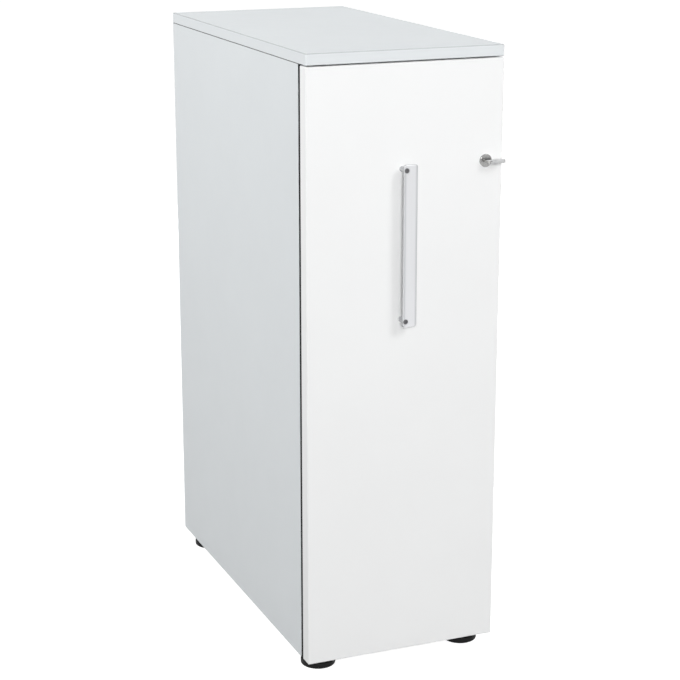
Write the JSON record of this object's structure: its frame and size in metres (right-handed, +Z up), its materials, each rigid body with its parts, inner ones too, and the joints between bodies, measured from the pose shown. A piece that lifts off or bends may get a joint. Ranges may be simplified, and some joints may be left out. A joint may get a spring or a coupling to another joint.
{
  "type": "pull-out tower cabinet",
  "caption": "Tall narrow floor cabinet whose full-height front pulls out on telescopic runners with open steel shelves behind it; bar handle, keyed cam lock and levelling feet.",
  "frame": {"origin": "on the floor, under the middle of the overall outline with the handle counted", "axes": "+Z up; -Y is the front, the way the drawer pulls out; +X is to the right of someone facing the front"},
  "size_m": [0.4, 0.824, 1.225],
  "materials": {
    "carcass_board": "satin faced board, light cool grey",
    "front_board": "satin faced board, white",
    "seal_rubber": "matte black",
    "handle_aluminium": "satin anodised",
    "lock_nickel": "satin nickel plate",
    "zinc_steel": "bright zinc plate",
    "black_steel": "black oxide",
    "key_steel": "nickel plate",
    "key_plastic": "fine-textured light grey",
    "foot_plastic": "matte black",
    "runner_steel": "zinc plate",
    "frame_paint": "fine-textured powder coat, light grey",
    "guard_steel": "bright plate",
    "rail_aluminium": "mill finish",
    "roller_nylon": "natural white",
    "cam_zinc": "die-cast zinc",
    "dowel_wood": "plain beech",
    "ballast_steel": "matte black primer"
  },
  "bodies": {
    "carcass": {"top_panel": "carcass_board", "left_side_panel": "carcass_board", "right_side_panel": "carcass_board", "base_panel": "carcass_board", "back_panel": "carcass_board", "left_seal": "seal_rubber", "right_seal": "seal_rubber", "cam_housings": "cam_zinc", "cam_bolts": "zinc_steel", "dowels": "dowel_wood", "foot_sockets": "foot_plastic", "guide_rail": "rail_aluminium", "guide_rail_screws": "zinc_steel", "strike_plate": "zinc_steel", "strike_screws": "zinc_steel", "ballast_plate": "ballast_steel", "ballast_screws": "zinc_steel", "left_runner_outer": "runner_steel", "right_runner_outer": "runner_steel", "runner_outer_screws": "zinc_steel"},
    "pullout": {"drawer_front": "front_board", "handle_bar": "handle_aluminium", "handle_posts": "handle_aluminium", "handle_screws": "black_steel", "base_tray": "frame_paint", "lower_shelf": "frame_paint", "middle_shelf": "frame_paint", "upper_shelf": "frame_paint", "front_left_upright": "frame_paint", "front_right_upright": "frame_paint", "rear_left_upright": "frame_paint", "rear_right_upright": "frame_paint", "top_frame": "frame_paint", "guard_rails": "guard_steel", "shelf_clips": "frame_paint", "frame_bolts": "zinc_steel", "front_screws": "zinc_steel", "guide_pin": "zinc_steel", "left_runner_inner": "runner_steel", "right_runner_inner": "runner_steel", "runner_inner_screws": "zinc_steel", "lock_housing": "lock_nickel", "lock_nut": "lock_nickel"},
    "left_runner_middle": {"left_runner_middle": "runner_steel"},
    "left_outer_cage": {"left_outer_cage": "runner_steel"},
    "left_inner_cage": {"left_inner_cage": "runner_steel"},
    "right_runner_middle": {"right_runner_middle": "runner_steel"},
    "right_outer_cage": {"right_outer_cage": "runner_steel"},
    "right_inner_cage": {"right_inner_cage": "runner_steel"},
    "guide_roller": {"guide_roller": "roller_nylon"},
    "lock_plug": {"lock_plug": "lock_nickel", "lock_cam": "zinc_steel", "cam_screw": "zinc_steel"},
    "key": {"key_blade": "key_steel", "key_pin": "key_steel"},
    "key_bow": {"key_bow": "key_plastic"},
    "front_left_foot": {"front_left_foot": "foot_plastic"},
    "front_right_foot": {"front_right_foot": "foot_plastic"},
    "back_left_foot": {"back_left_foot": "foot_plastic"},
    "back_right_foot": {"back_right_foot": "foot_plastic"}
  },
  "joints": [
    {"name": "pullout_slide", "type": "slide", "parent": "carcass", "child": "pullout", "axis": [0, -1, 0], "range_m": [0, 0.68]},
    {"name": "left_runner_middle_slide", "type": "slide", "parent": "carcass", "child": "left_runner_middle", "axis": [0, -1, 0], "range_m": [0, 0.34]},
    {"name": "left_outer_cage_slide", "type": "slide", "parent": "carcass", "child": "left_outer_cage", "axis": [0, -1, 0], "range_m": [0, 0.17]},
    {"name": "left_inner_cage_slide", "type": "slide", "parent": "carcass", "child": "left_inner_cage", "axis": [0, -1, 0], "range_m": [0, 0.51]},
    {"name": "right_runner_middle_slide", "type": "slide", "parent": "carcass", "child": "right_runner_middle", "axis": [0, -1, 0], "range_m": [0, 0.34]},
    {"name": "right_outer_cage_slide", "type": "slide", "parent": "carcass", "child": "right_outer_cage", "axis": [0, -1, 0], "range_m": [0, 0.17]},
    {"name": "right_inner_cage_slide", "type": "slide", "parent": "carcass", "child": "right_inner_cage", "axis": [0, -1, 0], "range_m": [0, 0.51]},
    {"name": "guide_roller_spin", "type": "hinge", "parent": "pullout", "child": "guide_roller", "pos_m": [0, 0.342, 1.1935], "axis": [0, 0, 1], "range_deg": [0, 4020]},
    {"name": "lock_turn", "type": "hinge", "parent": "pullout", "child": "lock_plug", "pos_m": [0.165, -0.36, 1.007], "axis": [0, 1, 0], "range_deg": [0, 90]},
    {"name": "key_slide", "type": "slide", "parent": "lock_plug", "child": "key", "axis": [0, -1, 0], "range_m": [0, 0.03]},
    {"name": "key_fold", "type": "hinge", "parent": "key", "child": "key_bow", "pos_m": [0.165, -0.403, 1.007], "axis": [0, 0, -1], "range_deg": [0, 180]},
    {"name": "front_left_foot_slide", "type": "slide", "parent": "carcass", "child": "front_left_foot", "axis": [0, 0, -1], "range_m": [0, 0.015]},
    {"name": "front_right_foot_slide", "type": "slide", "parent": "carcass", "child": "front_right_foot", "axis": [0, 0, -1], "range_m": [0, 0.015]},
    {"name": "back_left_foot_slide", "type": "slide", "parent": "carcass", "child": "back_left_foot", "axis": [0, 0, -1], "range_m": [0, 0.015]},
    {"name": "back_right_foot_slide", "type": "slide", "parent": "carcass", "child": "back_right_foot", "axis": [0, 0, -1], "range_m": [0, 0.015]}
  ],
  "couplings": [
    {"joint": "left_runner_middle_slide", "follows": "pullout_slide", "ratio": 0.5},
    {"joint": "left_outer_cage_slide", "follows": "pullout_slide", "ratio": 0.25},
    {"joint": "left_inner_cage_slide", "follows": "pullout_slide", "ratio": 0.75},
    {"joint": "right_runner_middle_slide", "follows": "pullout_slide", "ratio": 0.5},
    {"joint": "right_outer_cage_slide", "follows": "pullout_slide", "ratio": 0.25},
    {"joint": "right_inner_cage_slide", "follows": "pullout_slide", "ratio": 0.75},
    {"joint": "guide_roller_spin", "follows": "pullout_slide", "rad_per_m": 103.09}
  ]
}
